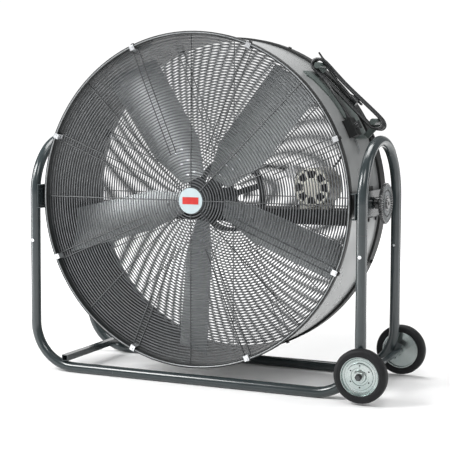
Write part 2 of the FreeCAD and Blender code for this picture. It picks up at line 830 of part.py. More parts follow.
def motor():
    front = size["motor_front"]
    shell_front = front + size["bell_len"] + 0.1
    shell_back = shell_front + size["motor_shell_len"] + 0.1
    tube = ring("motor_r", "motor_r - motor_wall", "motor_shell_len", motor_at(0, shell_front, 0), Y)
    base = motor_at(-58, shell_front + 8, size["shelf_top"] - size["motor_z"] + 0.1)
    block = box("116", "motor_shell_len - 16", "26", Placement(base, Rotation()))
    cradle = cut(block, cylinder("motor_r - 1", "motor_shell_len", motor_at(0, shell_front, 0), Y))
    node("motor_shell", fuse(tube, cradle))
    end_bell("motor_front_bell", front, Y)
    end_bell("motor_rear_bell", shell_back + size["bell_len"], -Y)
    core = shell_front + 12
    node("motor_stator", ring("stator_r", "stator_bore_r", "core_len", motor_at(0, core, 0), Y))
    rotor_bore = cylinder("motor_shaft_r + 0.01", "core_len", motor_at(0, core, 0), Y)
    node("motor_rotor", cut(cylinder("rotor_r", "core_len", motor_at(0, core, 0), Y), rotor_bore))
    node("motor_shaft", cylinder("motor_shaft_r", "belt_plane + pulley_width / 2 - motor_front - 6",
                                 motor_at(0, front + 6, 0), Y))
    can = motor_at(size["capacitor_x"], shell_front - 4, size["capacitor_z"])
    body = cylinder("capacitor_r", "capacitor_len", can, Y)
    lean = Vector(size["capacitor_x"], 0, size["capacitor_z"]).normalize()
    loop_y = shell_front + 30
    loop = ring("capacitor_r + 3", "capacitor_r + 0.1", "22",
                motor_at(size["capacitor_x"], loop_y, size["capacitor_z"]), Y)
    foot = motor_at(0, loop_y, 0) + lean * (size["motor_r"] - 4) - lean.cross(Y) * 15
    saddle = box("30", "22", "14", Placement(foot, Rotation(lean.cross(Y), Y, Vector(), "XYZ")))
    clear = cylinder("motor_r + 0.1", "motor_shell_len", motor_at(0, shell_front, 0), Y)
    can_space = cylinder("capacitor_r + 0.1", "capacitor_len", can, Y)
    node("capacitor", group([body, cut(fuse(loop, saddle), clear, can_space)]))
    up = outward(50)
    corner = motor_at(0, shell_front + 14, 0) + up * (size["motor_r"] - 6)
    corner = corner - up.cross(Y) * (size["conduit_side"] / 2)
    wiring = box("conduit_side", "conduit_side", "conduit_high",
                 Placement(corner, Rotation(up.cross(Y), Y, Vector(), "XYZ")))
    clear = cylinder("motor_r + 0.1", "motor_shell_len", motor_at(0, shell_front, 0), Y)
    node("motor_wiring_box", cut(wiring, clear))


def motor_lead():
    """The lead from the motor's wiring box, along the drum's wall and out to the switch box."""
    out = outward(50)
    start = motor_at(0, 85, 0) + out * (size["motor_r"] - 6 + size["conduit_high"] + 0.1)
    angle = size["box_angle"]
    points = [
        start,
        start + out * 40,
        around(575, angle - 1.5, 74),
        around(612, angle - 0.5, 44),
        around(617, angle, 4),
        around(617, angle, size["lead_hole_y"]),
        around(634, angle, size["lead_hole_y"]),
    ]
    path, radii = rounded_path(points)
    print("motor_lead bend radii", [round(r, 1) for r in radii])
    node("motor_lead", sweep(path, "motor_lead_r"))


# ---------------------------------------------------------------- pivots and knobs

def pivot_parts(side):
    """The saddle pad, stud and friction washer on one side of the drum."""
    half = size["pad_half"]
    low = size["pad_x"] - size["pad_depth"] if side > 0 else -size["pad_x"]
    block = box("pad_depth", "2 * pad_half", "2 * pad_half",
                Placement(drum_at(low, -half, -half), Rotation()))
    space = cylinder("shell_r + 0.1", "2 * pad_half", drum_at(0, -half, 0), Y)
    pad = cut(block, space)
    stud_end = size["knob_x"] + size["knob_thick"] - 1
    stud = doc.addObject("Part::Cylinder", "stud")
    stud.Height = stud_end - size["pad_x"] - 0.1
    bind(stud, Radius="stud_r")
    stand(stud, drum_at(side * (size["pad_x"] + 0.1), 0, 0), X * side)
    washer_start = drum_at(side * (size["pad_x"] + 4.5), 0, 0)
    washer = ring("washer_r", "stud_r + 0.1", "washer_len", washer_start, X * side)
    return pad, stud, washer


def tilt_knob(name, side):
    """A wide hand nut: a ribbed disc on a neck, threaded on the pivot stud."""
    start = drum_at(side * size["knob_neck_start"], 0, 0)
    face = drum_at(side * (size["knob_x"] + size["knob_thick"]), 0, 0)
    outer = X * side
    neck = cylinder("knob_neck_r", "knob_x - knob_neck_start", start, outer)
    disc = cylinder("knob_r", "knob_thick", drum_at(side * size["knob_x"], 0, 0), outer)
    boss = cylinder("knob_boss_r", "knob_boss_len", face, outer)
    groove = ring("knob_groove_outer", "knob_groove_inner", "knob_groove_depth",
                  face - outer * size["knob_groove_depth"], outer)
    grips = []
    ribs = []
    for k in range(24):
        angle = math.radians(15 * k)
        out = Vector(0, math.cos(angle), math.sin(angle))
        low = drum_at(side * (size["knob_x"] - 1), 0, 0) + out * size["grip_circle_r"]
        grips.append(cylinder("grip_r", "knob_thick + 2", low, outer))
        corner = face - outer * size["knob_groove_depth"] + out * (size["knob_groove_inner"] - 1)
        across = outer.cross(out)
        turned = Rotation(outer, out, Vector(), "XYZ")
        corner = corner - across * (size["knob_rib"] / 2)
        length = "knob_groove_outer - knob_groove_inner + 2"
        ribs.append(box("knob_groove_depth - 1.5", length, "knob_rib", Placement(corner, turned)))
    ribbed = fuse(cut(fuse(neck, disc, boss), groove), *ribs)
    bore = cylinder("stud_r + run_gap", "knob_x + knob_thick + 1 - knob_neck_start", start, outer)
    node(name, cut(ribbed, *grips, bore))


# ---------------------------------------------------------------- switch box, cord wrap and cord

def wrap_at(along, y, radius):
    """A point by the cord wrap: along it upwards, along the drum's axis, and out from that axis."""
    out = outward(size["wrap_angle"])
    return drum_at(0, y, 0) + out * radius + Vector(-out.z, 0, out.x) * (along + size["wrap_shift"])


def wrap_turn():
    """Own X along the wrap, own Y along the drum's axis, own Z towards the axis of the drum."""
    out = outward(size["wrap_angle"])
    return Rotation(Vector(-out.z, 0, out.x), Y, Vector(), "XYZ")


def racetrack(radius, y):
    """Two straight lines and two half circles round the wrap's posts."""
    half = size["wrap_half"]
    mid = size["wrap_mid_r"]
    low_in, low_out = wrap_at(-half, y, mid - radius), wrap_at(-half, y, mid + radius)
    high_in, high_out = wrap_at(half, y, mid - radius), wrap_at(half, y, mid + radius)
    return Part.Wire([
        Part.LineSegment(low_in, high_in).toShape(),
        Part.Arc(high_in, wrap_at(half + radius, y, mid), high_out).toShape(),
        Part.LineSegment(high_out, low_out).toShape(),
        Part.Arc(low_out, wrap_at(-half - radius, y, mid), low_in).toShape(),
    ])


def switch_box():
    angle = size["box_angle"]
    out = outward(angle)
    tangent = Vector(-out.z, 0, out.x)
    start = size["box_front"]
    top = size["box_low"] + size["box_high"]
    turned = Rotation(tangent, Y, Vector(), "XYZ")
    corner = around(top, angle, start) - tangent * (size["box_wide"] / 2)
    case = box("box_wide", "box_len", "box_high", Placement(corner, turned))
    space = cylinder("shell_r + 0.1", "box_len", drum_at(0, start, 0), Y)
    lead_end = around(size["box_low"], angle, size["lead_hole_y"])
    lead_space = cylinder("motor_lead_r + 0.1", "8", lead_end, out)
    node("switch_box", cut(case, space, lead_space))
    middle = start + size["box_len"] / 2
    knob = cylinder("switch_knob_r", "switch_knob_len", around(top + 0.4, angle, middle), out)
    grip_corner = around(top + size["switch_knob_len"] + 6, angle, middle - 2.5)
    grip_corner = grip_corner - tangent * (size["switch_knob_r"] + 2)
    grip = box("2 * switch_knob_r + 4", "5", "8", Placement(grip_corner, turned))
    node("switch_knob", fuse(knob, grip))


def gland_base():
    """Where the mains cord leaves the switch box: on the box's upper end."""
    angle = size["box_angle"]
    out = outward(angle)
    tangent = Vector(-out.z, 0, out.x)
    radius = size["box_low"] + size["gland_rise"]
    return around(radius, angle, size["gland_y"]) + tangent * (size["box_wide"] / 2), tangent


def cord_gland():
    base, tangent = gland_base()
    nut = doc.addObject("Part::Prism", "gland_nut")
    nut.Polygon = 6
    bind(nut, Circumradius="gland_nut_r", Height="gland_nut_len")
    stand(nut, base + tangent * 0.1, tangent)
    sleeve = doc.addObject("Part::Cone", "sleeve")
    bind(sleeve, Radius1="gland_sleeve_r", Radius2="cord_r + 1.5", Height="gland_sleeve_len")
    stand(sleeve, base + tangent * size["gland_nut_len"], tangent)
    bore = cylinder("cord_r + 0.02", "gland_nut_len + gland_sleeve_len + 1", base, tangent)
    node("cord_gland", cut(fuse(nut, sleeve), bore))


def saddle():
    """The curved sheet on the drum that carries the wrap, with a pointed ear at its front."""
    out = outward(size["saddle_angle"])
    tangent = Vector(-out.z, 0, out.x)
    middle = drum_at(0, 0, 0) + out * (size["shell_r"] - 90)
    edge = list(SADDLE_OUTLINE)
    edge.append((edge[-1][0], size["saddle_back"]))
    edge.append((edge[0][0], size["saddle_back"]))
    corners = [middle + tangent * along + Y * y for along, y in edge]
    outline = Part.makePolygon(corners + corners[:1])
    plan = custom(Part.Face(outline).extrude(out * 150))
    sheet_ring = ring("shell_r + 0.3 + saddle_sheet", "shell_r + 0.3", "240", drum_at(0, -90, 0), Y)
    return common(sheet_ring, plan)


def cord_wrap():
    """The saddle and two posts that the cord is wound round, each on its own upright plate."""
    out = outward(size["wrap_angle"])
    tangent = Vector(-out.z, 0, out.x)
    top = size["wrap_mid_r"] + size["post_r"]
    pieces = [saddle()]
    for along in (-size["wrap_half"], size["wrap_half"]):
        corner = wrap_at(along, size["post_plate_y"], top) - tangent * size["post_r"]
        pieces.append(box("2 * post_r", "post_plate_thick", "wrap_mid_r + post_r - shell_r + 45",
                          Placement(corner, wrap_turn())))
        start = wrap_at(along, size["post_start"], size["wrap_mid_r"])
        pieces.append(cylinder("post_r", "post_len", start, Y))
    space = cylinder("shell_r + 0.3", "300", drum_at(0, -150, 0), Y)
    node("cord_wrap", cut(fuse(*pieces), space))


def cord_piece(name, points):
    path, radii = rounded_path(points)
    print(name, "bend radii", [round(r, 1) for r in radii])
    node(name, sweep(path, "cord_r"))


def mains_cord():
    """The lead to the wound coil, the coil's outer shape, and the tucked end."""
    base, tangent = gland_base()
    exit_point = base + tangent * 0.2
    lead_r = size["wrap_mid_r"] - size["coil_half"]
    front = size["coil_front"]
    cord_piece("mains_cord_lead", [
        exit_point,
        exit_point + tangent * 42,
        wrap_at(26, -10, lead_r - 4),
        wrap_at(76, front, lead_r),
    ])
    outer = Part.Face(racetrack(size["coil_half"] + size["cord_r"], front))
    inner = Part.Face(racetrack(size["coil_half"] - size["cord_r"] - 0.2, front))
    node("mains_cord_coil", custom(outer.cut(inner).extrude(Y * size["coil_depth"]).Solids[0]))
    points = [wrap_at(along, size["tuck_y"], size["wrap_mid_r"] + rise) for along, rise in TUCKED_END]
    cord_piece("mains_cord_end", points)
    mains_plug(points[-1], (points[-1] - points[-2]).normalize())


def mains_plug(cord_end, along):
    """A moulded plug with two flat blades and a round earth pin."""
    start = cord_end + along * 0.1
    across = along.cross(Y)
    face = start + along * size["plug_len"]
    neck = doc.addObject("Part::Cone", "neck")
    bind(neck, Radius1="cord_r + 1", Radius2="plug_r - 4", Height="plug_neck_len")
    stand(neck, start, along)
    body = cylinder("plug_r", "plug_len - plug_neck_len", start + along * size["plug_neck_len"], along)
    blades = []
    for shift in (-6, 6):
        corner = face + Y * (shift - 0.75) + across * 3.2
        blades.append(box("17", "1.5", "6.4", Placement(corner, Rotation(along, Y, Vector(), "XYZ"))))
    earth = cylinder("2.4", "20", face + across * 6.5, along)
    node("mains_plug", fuse(neck, body, *blades, earth))


# ---------------------------------------------------------------- build

SIDES = (-1, 1)
lower_tube("front_lower_tube", -1)
lower_tube("rear_lower_tube", 1)
hoop("left_hoop", -1)
hoop("right_hoop", 1)
hoop_bolts()
cross_brace()
node("pivot_channels", group([pivot_channel(side) for side in SIDES]))
node("pivot_bushes", group([pivot_bush(side) for side in SIDES]))
axle_parts()
wheel("front", -1)
wheel("rear", 1)
drum_shell()
rim("front_rim", -1, "front_band")
rim("rear_rim", 1, "rear_band")
drum_bolts()
guard()
node("guard_clips", group(guard_clips(-1) + guard_clips(1)))
badge()
shelf()
node("bearings", group([bearing(size["front_bearing_y"]), bearing(size["rear_bearing_y"])]))
propeller()
pulley("driven_pulley", "driven_r", "shaft_r", drum_at(0, size["belt_plane"], 0), True)
pulley("drive_pulley", "drive_r", "motor_shaft_r", motor_at(0, size["belt_plane"], 0), False)
belt()
motor()
motor_lead()
pads, studs, washers = zip(*[pivot_parts(side) for side in SIDES])
node("pivot_pads", group(pads))
node("pivot_studs", group(studs))
node("friction_washers", group(washers))
tilt_knob("left_tilt_knob", -1)
tilt_knob("right_tilt_knob", 1)
switch_box()
cord_gland()
cord_wrap()
mains_cord()

doc.recompute()
faults = [o.Label for o in doc.Objects if "Invalid" in o.State or "Error" in o.State]
faults += [name for name, o in nodes.items() if o.Shape.isNull() or not o.Shape.isValid()]
if faults:
    raise RuntimeError(f"these did not build: {faults}")

os.makedirs("parts", exist_ok=True)
for name, feature in nodes.items():
    feature.Shape.exportStep(f"parts/{name}.step")
print(len(nodes), "nodes written")
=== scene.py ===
import json
import math

import bmesh
import bpy
from mathutils import Matrix, Vector


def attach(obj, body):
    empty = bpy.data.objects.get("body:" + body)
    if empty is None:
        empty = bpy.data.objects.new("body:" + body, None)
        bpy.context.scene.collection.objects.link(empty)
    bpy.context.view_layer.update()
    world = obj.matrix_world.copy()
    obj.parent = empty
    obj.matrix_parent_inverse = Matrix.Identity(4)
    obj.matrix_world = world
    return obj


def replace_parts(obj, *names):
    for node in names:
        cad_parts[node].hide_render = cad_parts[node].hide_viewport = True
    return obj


# The looks of a two-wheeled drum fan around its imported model. Metres, in the model's own frame:
# X across the fan, -Y its front, Z up. Angles about the drum's axis count up from +X.

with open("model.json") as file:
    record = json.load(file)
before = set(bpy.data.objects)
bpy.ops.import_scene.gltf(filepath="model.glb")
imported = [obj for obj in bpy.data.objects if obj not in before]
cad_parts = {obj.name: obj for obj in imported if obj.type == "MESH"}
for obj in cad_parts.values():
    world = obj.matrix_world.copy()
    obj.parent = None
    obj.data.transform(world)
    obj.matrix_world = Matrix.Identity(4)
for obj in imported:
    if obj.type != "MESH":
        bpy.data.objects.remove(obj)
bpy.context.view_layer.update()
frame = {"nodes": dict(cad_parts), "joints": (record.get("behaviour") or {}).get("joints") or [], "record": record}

JOINTS = {joint["name"]: joint for joint in frame["joints"]}
PIVOT = Vector(JOINTS["drum_tilt"]["pos_m"])
Y_AXIS = Vector((0, 1, 0))
Z_AXIS = Vector((0, 0, 1))
VIEW = Vector((-0.4027, 0.9124, -0.0735))
WHITE = (1.0, 1.0, 1.0, 1.0)

# the drum's switch box and its wrap for the mains cord
WRAP_ANGLE = 46.1
WRAP_SHIFT = -0.101
WRAP_HALF = 0.154
WRAP_RADIUS = 0.666
CORD_RADIUS = 0.00475
BOX_ANGLE = 25.6
GLAND_RADIUS = 0.649
BOX_HALF = 0.035


def outward(angle):
    """The direction out of the drum at an angle."""
    return Vector((math.cos(math.radians(angle)), 0, math.sin(math.radians(angle))))


def upward(angle):
    """The direction round the drum, towards larger angles."""
    return Vector((-math.sin(math.radians(angle)), 0, math.cos(math.radians(angle))))


def around(radius, angle, y):
    return PIVOT + outward(angle) * radius + Y_AXIS * y


def wrap_at(along, y, radius):
    """A point by the cord wrap: up along it, along the drum's axis, and out from that axis."""
    return around(radius, WRAP_ANGLE, y) + upward(WRAP_ANGLE) * (along + WRAP_SHIFT)


def show(name, data):
    """Puts a new object with this data in the scene."""
    thing = bpy.data.objects.new(name, data)
    bpy.context.scene.collection.objects.link(thing)
    return thing


def looking(place, direction):
    """The place and turn of a camera or a lamp that faces along a direction."""
    return Matrix.Translation(place) @ direction.to_track_quat("-Z", "Y").to_matrix().to_4x4()


# ---------------------------------------------------------------- camera

def make_camera():
    data = bpy.data.cameras.new("camera")
    data.sensor_width = 36.0
    data.lens = 94.63
    data.shift_x = -0.0007
    data.shift_y = -0.0460
    camera = show("camera", data)
    roll = Matrix.Rotation(math.radians(0.21), 4, "Z")
    camera.matrix_world = looking((1.894, -4.262, 1.022), VIEW) @ roll
    bpy.context.scene.camera = camera


# ---------------------------------------------------------------- mesh helpers

def piece(name, bm, body, material, smooth=True):
    """Makes an object of a finished bmesh, and makes it ride on its CAD body."""
    bmesh.ops.recalc_face_normals(bm, faces=bm.faces)
    mesh = bpy.data.meshes.new(name)
    bm.to_mesh(mesh)
    bm.free()
    mesh.materials.append(material)
    if smooth:
        mesh.shade_smooth()
        mesh.set_sharp_from_angle(angle=math.radians(35))
    thing = show(name, mesh)
    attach(thing, body)
    return thing


def across(axis):
    """Two directions at right angles to an axis and to each other."""
    helper = Z_AXIS if abs(axis.z) < 0.9 else Vector((1, 0, 0))
    first = axis.cross(helper).normalized()
    return first, axis.cross(first).normalized()


def turned(first, second, angle):
    """The direction at an angle from first towards second."""
    return first * math.cos(angle) + second * math.sin(angle)


def skin(bm, rings):
    """Joins each ring of vertices to the next one with faces."""
    for one, two in zip(rings, rings[1:]):
        for k in range(len(one)):
            nxt = (k + 1) % len(one)
            bm.faces.new((one[k], one[nxt], two[nxt], two[k]))


def lathe(bm, profile, base, axis, segments=96, closed=True):
    """Turns (radius, along) points about an axis through base."""
    first, second = across(axis)
    rings = []
    for radius, along in profile:
        ring = []
        for k in range(segments):
            spoke = turned(first, second, 2 * math.pi * k / segments)
            ring.append(bm.verts.new(base + axis * along + spoke * radius))
        rings.append(ring)
    skin(bm, rings + rings[:1] if closed else rings)
    bmesh.ops.remove_doubles(bm, verts=[v for ring in rings for v in ring], dist=1e-7)


def wire_ring(bm, radius, y, wire, segments, sides=6):
    """A round wire bent to a circle about the drum's axis."""
    profile = [
        (radius + wire * math.cos(2 * math.pi * k / sides), wire * math.sin(2 * math.pi * k / sides))
        for k in range(sides)
    ]
    lathe(bm, profile, PIVOT + Y_AXIS * y, Y_AXIS, segments)


def rod(bm, start, end, radius, sides=8):
    """A round bar between two points, with flat ends."""
    axis = (end - start).normalized()
    length = (end - start).length
    lathe(bm, [(0, 0), (radius, 0), (radius, length), (0, length)], start, axis, sides, closed=False)


def bent_rod(bm, points, radius, sides=8):
    """A round wire along a list of points, which lie close together where it bends."""
    rings = []
    for k, point in enumerate(points):
        ahead = (points[min(k + 1, len(points) - 1)] - points[max(k - 1, 0)]).normalized()
        first, second = across(ahead)
        if rings:
            first = (old_first - ahead * old_first.dot(ahead)).normalized()
            second = ahead.cross(first)
        old_first = first
        ring = []
        for side in range(sides):
            angle = 2 * math.pi * side / sides
            ring.append(bm.verts.new(point + turned(first, second, angle) * radius))
        rings.append(ring)
    skin(bm, rings)
    bm.faces.new(rings[0])
    bm.faces.new(rings[-1])


# ---------------------------------------------------------------- materials

def new_material(name):
    material = bpy.data.materials.new(name)
    material.use_nodes = True
    return material, material.node_tree, material.node_tree.nodes["Principled BSDF"]


def add(tree, kind, **values):
    """A shader node with some of its sockets or settings set."""
    shader_node = tree.nodes.new(kind)
    for name, value in values.items():
        socket = shader_node.inputs.get(name.replace("_", " "))
        if socket is None:
            setattr(shader_node, name, value)
        else:
            socket.default_value = value
    return shader_node


def rgba(colour):
    return (*colour, 1.0)


def surface(name, dark, light, rough, metallic=0.0, coat=0.0, scale=35.0, stretch=(1, 1, 1),
            turn=0.0, grain=1500.0, bump=0.12, specular=0.5):
    """A finish whose colour and gloss vary gently, over a fine grain in the surface itself."""
    material, tree, shader = new_material(name)
    place = add(tree, "ShaderNodeTexCoord")
    mapping = add(tree, "ShaderNodeMapping", Rotation=(0, math.radians(turn), 0), Scale=stretch)
    broad = add(tree, "ShaderNodeTexNoise", Scale=scale, Detail=6.0, Roughness=0.6)
    tint = add(tree, "ShaderNodeValToRGB")
    tint.color_ramp.elements[0].position = 0.35
    tint.color_ramp.elements[0].color = rgba(dark)
    tint.color_ramp.elements[1].position = 0.65
    tint.color_ramp.elements[1].color = rgba(light)
    gloss = add(tree, "ShaderNodeMapRange", From_Min=0.3, From_Max=0.7, To_Min=rough[0], To_Max=rough[1])
    fine = add(tree, "ShaderNodeTexNoise", Scale=grain, Detail=2.0)
    relief = add(tree, "ShaderNodeBump", Strength=bump, Distance=0.0003)
    link = tree.links.new
    link(place.outputs["Object"], mapping.inputs["Vector"])
    link(mapping.outputs["Vector"], broad.inputs["Vector"])
    link(mapping.outputs["Vector"], fine.inputs["Vector"])
    link(broad.outputs["Fac"], tint.inputs["Fac"])
    link(broad.outputs["Fac"], gloss.inputs["Value"])
    link(tint.outputs["Color"], shader.inputs["Base Color"])
    link(gloss.outputs["Result"], shader.inputs["Roughness"])
    link(fine.outputs["Fac"], relief.inputs["Height"])
    link(relief.outputs["Normal"], shader.inputs["Normal"])
    shader.inputs["Metallic"].default_value = metallic
    shader.inputs["Coat Weight"].default_value = coat
    shader.inputs["Coat Roughness"].default_value = 0.15
    shader.inputs["Specular IOR Level"].default_value = specular
    return material


def shell_finish():
    """Silver paint outside, and painted shade, a near-black colour, on the faces that look in at the drum's axis.
    """
    outer_metallic, inner_metallic = 0.45, 0.10
    material = surface("shell_silver", (0.30, 0.31, 0.31), (0.34, 0.35, 0.35), (0.26, 0.32),
                       outer_metallic, scale=6.0, grain=900.0, bump=0.03)
    tree = material.node_tree
    shader = tree.nodes["Principled BSDF"]
    outside = shader.inputs["Base Color"].links[0].from_socket
    place = add(tree, "ShaderNodeTexCoord")
    centre = add(tree, "ShaderNodeVectorMath", operation="SUBTRACT")
    centre.inputs[1].default_value = PIVOT
    flat = add(tree, "ShaderNodeVectorMath", operation="MULTIPLY")
    flat.inputs[1].default_value = (1, 0, 1)
    facing = add(tree, "ShaderNodeVectorMath", operation="DOT_PRODUCT")
    inside = add(tree, "ShaderNodeMath", operation="LESS_THAN")
    inside.inputs[1].default_value = 0.0
    # painted shade: the drum's inside wall is coloured near black to stand for the shade that falls inside it
    inner_shade_noise = add(tree, "ShaderNodeTexNoise", Scale=18.0, Detail=5.0)
    inner_shade_ramp = add(tree, "ShaderNodeValToRGB")
    inner_shade_ramp.color_ramp.elements[0].color = rgba((0.020, 0.022, 0.023))
    inner_shade_ramp.color_ramp.elements[1].color = rgba((0.036, 0.040, 0.041))
    both = add(tree, "ShaderNodeMix", data_type="RGBA")
    link = tree.links.new
    link(place.outputs["Object"], centre.inputs[0])
    link(centre.outputs["Vector"], flat.inputs[0])
    link(flat.outputs["Vector"], facing.inputs[0])
    link(place.outputs["Normal"], facing.inputs[1])
    link(facing.outputs["Value"], inside.inputs[0])
    link(place.outputs["Object"], inner_shade_noise.inputs["Vector"])
    link(inner_shade_noise.outputs["Fac"], inner_shade_ramp.inputs["Fac"])
    link(inside.outputs["Value"], both.inputs["Factor"])
    link(outside, both.inputs["A"])
    link(inner_shade_ramp.outputs["Color"], both.inputs["B"])
    link(both.outputs["Result"], shader.inputs["Base Color"])
    metal = add(tree, "ShaderNodeMath", operation="MULTIPLY_ADD")
    metal.inputs[1].default_value = inner_metallic - outer_metallic
    metal.inputs[2].default_value = outer_metallic
    link(inside.outputs["Value"], metal.inputs[0])
    link(metal.outputs["Value"], shader.inputs["Metallic"])
    return material


MATERIALS = {
    "frame_paint": surface("slate_powder_coat", (0.022, 0.030, 0.032), (0.029, 0.038, 0.041), (0.17, 0.23),
                           coat=0.2, scale=9.0, bump=0.04),
    "zinc": surface("bright_zinc", (0.66, 0.68, 0.70), (0.74, 0.75, 0.77), (0.22, 0.34),
                    metallic=0.9, scale=30.0),
    "black_bolts": surface("black_oxide", (0.012, 0.012, 0.013), (0.03, 0.03, 0.03), (0.35, 0.5),
                           metallic=0.3),
    "bronze": surface("sintered_bronze", (0.35, 0.25, 0.14), (0.48, 0.36, 0.2), (0.4, 0.55), metallic=0.9),
    "tyre": surface("tyre_rubber", (0.008, 0.008, 0.009), (0.012, 0.013, 0.014), (0.45, 0.6),
                    scale=60.0, bump=0.25, specular=0.22),
    "wheel_zinc": surface("wheel_zinc", (0.33, 0.39, 0.38), (0.47, 0.51, 0.50), (0.18, 0.28),
                          metallic=0.95, scale=14.0, bump=0.05),
    "drum_paint": surface("silver_enamel", (0.36, 0.375, 0.375), (0.40, 0.415, 0.415), (0.2, 0.3),
                          metallic=0.5, coat=0.2, scale=8.0),
    "rim_paint": surface("black_enamel", (0.008, 0.009, 0.009), (0.013, 0.014, 0.014), (0.45, 0.55),
                         scale=12.0, specular=0.3),
    "guard_wire": surface("guard_wire", (0.10, 0.105, 0.11), (0.14, 0.145, 0.15), (0.28, 0.4),
                          metallic=0.5, scale=50.0),
    "badge_white": surface("white_enamel", (0.34, 0.41, 0.43), (0.38, 0.45, 0.47), (0.3, 0.4),
                           coat=0.1, scale=20.0),
    "badge_red": surface("red_enamel", (0.38, 0.010, 0.008), (0.46, 0.018, 0.012), (0.3, 0.4),
                         coat=0.1, scale=40.0),
    "cast_iron": surface("cast_iron", (0.05, 0.053, 0.055), (0.10, 0.105, 0.11), (0.45, 0.65),
                         metallic=0.5, scale=60.0, bump=0.4),
    "belt_rubber": surface("belt_rubber", (0.010, 0.010, 0.010), (0.022, 0.022, 0.022), (0.55, 0.75)),
    "motor_paint": surface("motor_enamel", (0.84, 0.83, 0.74), (0.90, 0.89, 0.80), (0.3, 0.42),
                           coat=0.3, scale=14.0),
    "motor_core": surface("core_steel", (0.03, 0.03, 0.032), (0.07, 0.07, 0.075), (0.4, 0.6), metallic=0.5),
    "capacitor_can": surface("bright_can", (0.84, 0.85, 0.86), (0.90, 0.90, 0.91), (0.3, 0.45),
                             metallic=0.2, scale=30.0),
    "cord_rubber": surface("cord_rubber", (0.010, 0.011, 0.012), (0.017, 0.018, 0.019), (0.32, 0.45),
                           scale=70.0),
    "shaft_steel": surface("ground_steel", (0.40, 0.40, 0.41), (0.50, 0.50, 0.51), (0.2, 0.35),
                           metallic=1.0),
    "knob_plastic": surface("knob_plastic", (0.022, 0.023, 0.024), (0.034, 0.036, 0.037), (0.2, 0.28),
                            coat=0.3, specular=0.8),
}
REAR_WIRE = surface("rear_guard_wire", (0.46, 0.47, 0.475), (0.56, 0.57, 0.575), (0.4, 0.5),
                    metallic=0.6, scale=50.0)
SPOKE_GREY = surface("spoke_grey", (0.030, 0.032, 0.034), (0.045, 0.048, 0.050), (0.35, 0.45),
                     metallic=0.3, scale=50.0)
BEAD_GREY = surface("bead_grey", (0.20, 0.21, 0.215), (0.26, 0.27, 0.275), (0.25, 0.35),
                    metallic=0.3, scale=20.0)
# painted highlight: the knob's ribs are coloured light grey on the black plastic, for the light their tops catch
RIB_HIGHLIGHT_GREY = surface("painted_rib_highlight", (0.17, 0.18, 0.185), (0.24, 0.25, 0.255), (0.3, 0.4),
                   metallic=0.2, scale=40.0)
SADDLE_PAINT = surface("saddle_paint", (0.055, 0.070, 0.066), (0.090, 0.110, 0.104), (0.35, 0.5), scale=8.0)

BLADE_COUNT = 5
FIRST_BLADE = 50.9


def blade_metal(turn):
    """Satin aluminium with brush marks along the blade's span."""
    return surface(f"blade_metal_{round(turn)}", (0.33, 0.35, 0.355), (0.40, 0.42, 0.425), (0.27, 0.35),
                   metallic=0.45, scale=16.0, stretch=(0.25, 1.0, 1.0), turn=turn, grain=420.0, bump=0.015)


def dress_cad_nodes():
    """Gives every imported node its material: by slot, or its own where it needs one."""
    slots = {part["node"]: part["material_slot"] for part in frame["record"]["subparts"]}
    own = {
        "drum_shell": shell_finish(),
        "axle_nuts": MATERIALS["black_bolts"],
        "wheel_axle": MATERIALS["cast_iron"],
        "pivot_bushes": MATERIALS["black_bolts"],
        "pivot_studs": MATERIALS["black_bolts"],
        "friction_washers": MATERIALS["black_bolts"],
        "cord_wrap": SADDLE_PAINT,
    }
    for k in range(BLADE_COUNT):
        own[f"blade_{k + 1}"] = blade_metal(FIRST_BLADE + 360 / BLADE_COUNT * k)
    for name, thing in frame["nodes"].items():
        material = own.get(name) or MATERIALS[slots[name]]
        thing.data.materials.clear()
        thing.data.materials.append(material)


# ---------------------------------------------------------------- mains cord

# The turns lie in slanting planes: their inner runs lie nearer the drum's front than their outer
# ones. For each turn: where its plane crosses the posts' axes, and the radii of its two folds.
TURNS = (
    (0.040, 0.0310, 0.0285),
    (0.051, 0.0370, 0.0330),
    (0.062, 0.0300, 0.0290),
    (0.073, 0.0390, 0.0340),
)
LAST_FOLD = 0.0300
LAST_Y = 0.086

# how far the runs lie from the middle of the turns, out from the drum and along its axis, and
# how far each run is straight to either side of the wrap's middle
FLAT = 0.019
SLANT = 0.021
STRAIGHT = 0.100

# the tucked end's distance along the drum's axis, and its course as (along the wrap, rise)
TUCK_Y = 0.062
TUCKED_END = ((0.122, 0.013), (0.076, 0.006), (0.034, 0.0), (-0.006, 0.0))


def run_point(along, y, side, pinch=1.0):
    """A point on a turn's inner run (side -1) or its outer run (side 1)."""
    return wrap_at(along, y + side * SLANT, WRAP_RADIUS + side * FLAT * pinch)


def fold(end, radius, y, first, last):
    """Half a turn round one post, from angle first to last."""
    steps = 6
    reach = 1 / math.cos(math.radians(180 / steps / 2))
    points = []
    for k in range(steps + 1):
        angle = math.radians(first + (last - first) * k / steps)
        along = end * (WRAP_HALF + radius * reach * math.cos(angle))
        rise = reach * math.sin(angle)
        points.append(wrap_at(along, y + SLANT * rise, WRAP_RADIUS + FLAT * rise))
    return points


